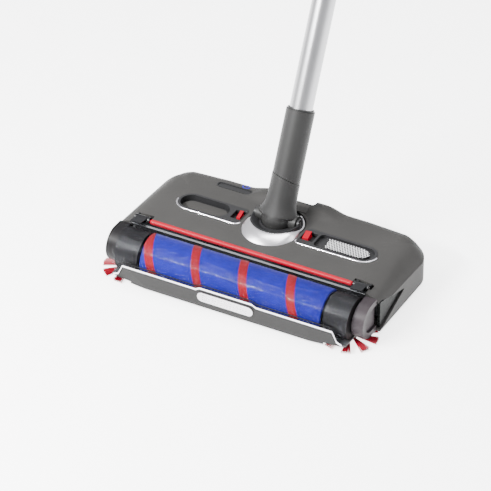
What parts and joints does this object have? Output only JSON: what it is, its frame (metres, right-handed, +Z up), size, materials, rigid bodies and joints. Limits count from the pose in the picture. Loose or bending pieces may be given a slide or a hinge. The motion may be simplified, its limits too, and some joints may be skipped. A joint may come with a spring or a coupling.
{
  "type": "carpet sweeper",
  "caption": "Low wide floor sweeper head with a plush roller under a clear hinged cover, side brushes, pull-out dust bins and a long swivelling, tilting tube handle.",
  "frame": {"origin": "on the floor under the vertical swivel axis of the handle", "axes": "+Z up; the roller side faces -Y; X runs along the roller"},
  "size_m": [0.3719, 0.5336, 0.9036],
  "materials": {
    "housing_grey": "satin moulded plastic",
    "dark_plastic": "satin moulded plastic",
    "underside": "moulded plastic",
    "chrome_trim": "bright plated trim",
    "red_gloss": "glossy red plastic",
    "cap_grey": "satin moulded plastic",
    "black_gloss": "glossy black plastic",
    "clear_cover": "clear plastic",
    "smoked": "smoked clear plastic",
    "bin_plastic": "moulded plastic",
    "core_plastic": "moulded plastic tube",
    "roller_plush": "short dense plush",
    "roller_band": "short stiff bristle band",
    "bristle_red": "nylon bristle tufts",
    "steel": "plain steel",
    "battery": "wrapped cells",
    "board_green": "printed circuit board",
    "silver_plastic": "silver coated plastic",
    "violet_print": "printed symbol",
    "neck_grey": "satin moulded plastic",
    "tube_silver": "satin anodised tube",
    "grip_rubber": "soft grip",
    "tyre_black": "rubber"
  },
  "bodies": {
    "sweeper_body": {"top_housing": "housing_grey", "base_plate": "underside", "brush_hood": "dark_plastic", "front_bumper": "housing_grey", "chrome_strip": "chrome_trim", "seal_bar": "red_gloss", "end_cap_left": "cap_grey", "end_cap_right": "cap_grey", "bearing_block_left": "black_gloss", "motor_block_right": "black_gloss", "cover_hinge_brackets": "black_gloss", "hinge_pins": "steel", "roller_stub_axle": "steel", "drive_motor": "steel", "roller_bearing": "steel", "brush_motors": "steel", "finger_cup": "dark_plastic", "vent_bezel": "dark_plastic", "vent_mesh": "silver_plastic", "insert_rims": "chrome_trim", "power_bezel": "dark_plastic", "power_light": "violet_print", "power_switch": "black_gloss", "battery_pack": "battery", "circuit_board": "board_green", "charging_socket": "black_gloss", "hub_collar": "silver_plastic", "hub_bearing": "dark_plastic", "screws": "steel"},
    "cover": {"clear_cover": "clear_cover", "cover_knuckles": "black_gloss"},
    "latch": {"cover_latch_button": "silver_plastic"},
    "roller": {"roller_core": "core_plastic", "roller_sleeve": "roller_plush", "roller_spiral": "roller_band"},
    "brush_left": {"side_brush_left": "black_gloss", "tufts_left": "bristle_red"},
    "brush_right": {"side_brush_right": "black_gloss", "tufts_right": "bristle_red"},
    "bin_left": {"dust_bin_left": "bin_plastic", "bin_window_left": "smoked"},
    "bin_right": {"dust_bin_right": "bin_plastic", "bin_window_right": "smoked"},
    "slider_left": {"release_slider_left": "red_gloss"},
    "slider_right": {"release_slider_right": "red_gloss"},
    "foot_switch": {"power_button": "dark_plastic"},
    "swivel": {"turret": "dark_plastic", "turret_clip": "steel", "tilt_pin": "steel"},
    "handle": {"neck": "neck_grey", "neck_sleeve": "neck_grey", "tube_lower": "tube_silver", "tube_coupler": "neck_grey", "tube_upper": "tube_silver", "grip": "grip_rubber", "grip_cap": "neck_grey"},
    "wheel_rear_left": {"rear_wheel_left": "tyre_black"},
    "wheel_rear_right": {"rear_wheel_right": "tyre_black"},
    "wheel_front_left": {"front_wheel_left": "tyre_black"},
    "wheel_front_right": {"front_wheel_right": "tyre_black"}
  },
  "joints": [
    {"name": "hub_swivel", "type": "hinge", "parent": "sweeper_body", "child": "swivel", "pos_m": [0, 0, 0.05], "axis": [0, 0, 1], "range_deg": [-60, 60]},
    {"name": "handle_tilt", "type": "hinge", "parent": "swivel", "child": "handle", "pos_m": [0, 0.003, 0.064], "axis": [-1, 0, 0], "range_deg": [-25, 40]},
    {"name": "cover_hinge", "type": "hinge", "parent": "sweeper_body", "child": "cover", "pos_m": [0, -0.0665, 0.0555], "axis": [-1, 0, 0], "range_deg": [0, 75]},
    {"name": "latch_press", "type": "slide", "parent": "sweeper_body", "child": "latch", "axis": [0, 1, 0], "range_m": [0, 0.0015], "stiffness_N_per_m": 1500, "springref_m": -0.0002},
    {"name": "roller_spin", "type": "hinge", "parent": "sweeper_body", "child": "roller", "pos_m": [0, -0.0962, 0.0285], "axis": [1, 0, 0], "continuous": true},
    {"name": "brush_left_spin", "type": "hinge", "parent": "sweeper_body", "child": "brush_left", "pos_m": [-0.15, -0.0962, 0.01], "axis": [0, 0, 1], "continuous": true, "deforming": ["tufts_left"]},
    {"name": "brush_right_spin", "type": "hinge", "parent": "sweeper_body", "child": "brush_right", "pos_m": [0.15, -0.0962, 0.01], "axis": [0, 0, 1], "continuous": true, "deforming": ["tufts_right"]},
    {"name": "bin_left_pull", "type": "slide", "parent": "sweeper_body", "child": "bin_left", "axis": [-1, 0, 0], "range_m": [0, 0.095]},
    {"name": "bin_right_pull", "type": "slide", "parent": "sweeper_body", "child": "bin_right", "axis": [1, 0, 0], "range_m": [0, 0.095]},
    {"name": "slider_left_push", "type": "slide", "parent": "sweeper_body", "child": "slider_left", "axis": [-1, 0, 0], "range_m": [0, 0.005], "stiffness_N_per_m": 400, "springref_m": -0.0005},
    {"name": "slider_right_push", "type": "slide", "parent": "sweeper_body", "child": "slider_right", "axis": [1, 0, 0], "range_m": [0, 0.005], "stiffness_N_per_m": 400, "springref_m": -0.0005},
    {"name": "foot_switch_press", "type": "slide", "parent": "sweeper_body", "child": "foot_switch", "axis": [0, 0, -1], "range_m": [0, 0.002], "stiffness_N_per_m": 1500, "springref_m": -0.0004},
    {"name": "rear_left_roll", "type": "hinge", "parent": "sweeper_body", "child": "wheel_rear_left", "pos_m": [-0.125, 0.044, 0.011], "axis": [1, 0, 0], "continuous": true},
    {"name": "rear_right_roll", "type": "hinge", "parent": "sweeper_body", "child": "wheel_rear_right", "pos_m": [0.125, 0.044, 0.011], "axis": [1, 0, 0], "continuous": true},
    {"name": "front_left_roll", "type": "hinge", "parent": "sweeper_body", "child": "wheel_front_left", "pos_m": [-0.055, -0.055, 0.007], "axis": [1, 0, 0], "continuous": true},
    {"name": "front_right_roll", "type": "hinge", "parent": "sweeper_body", "child": "wheel_front_right", "pos_m": [0.055, -0.055, 0.007], "axis": [1, 0, 0], "continuous": true}
  ]
}
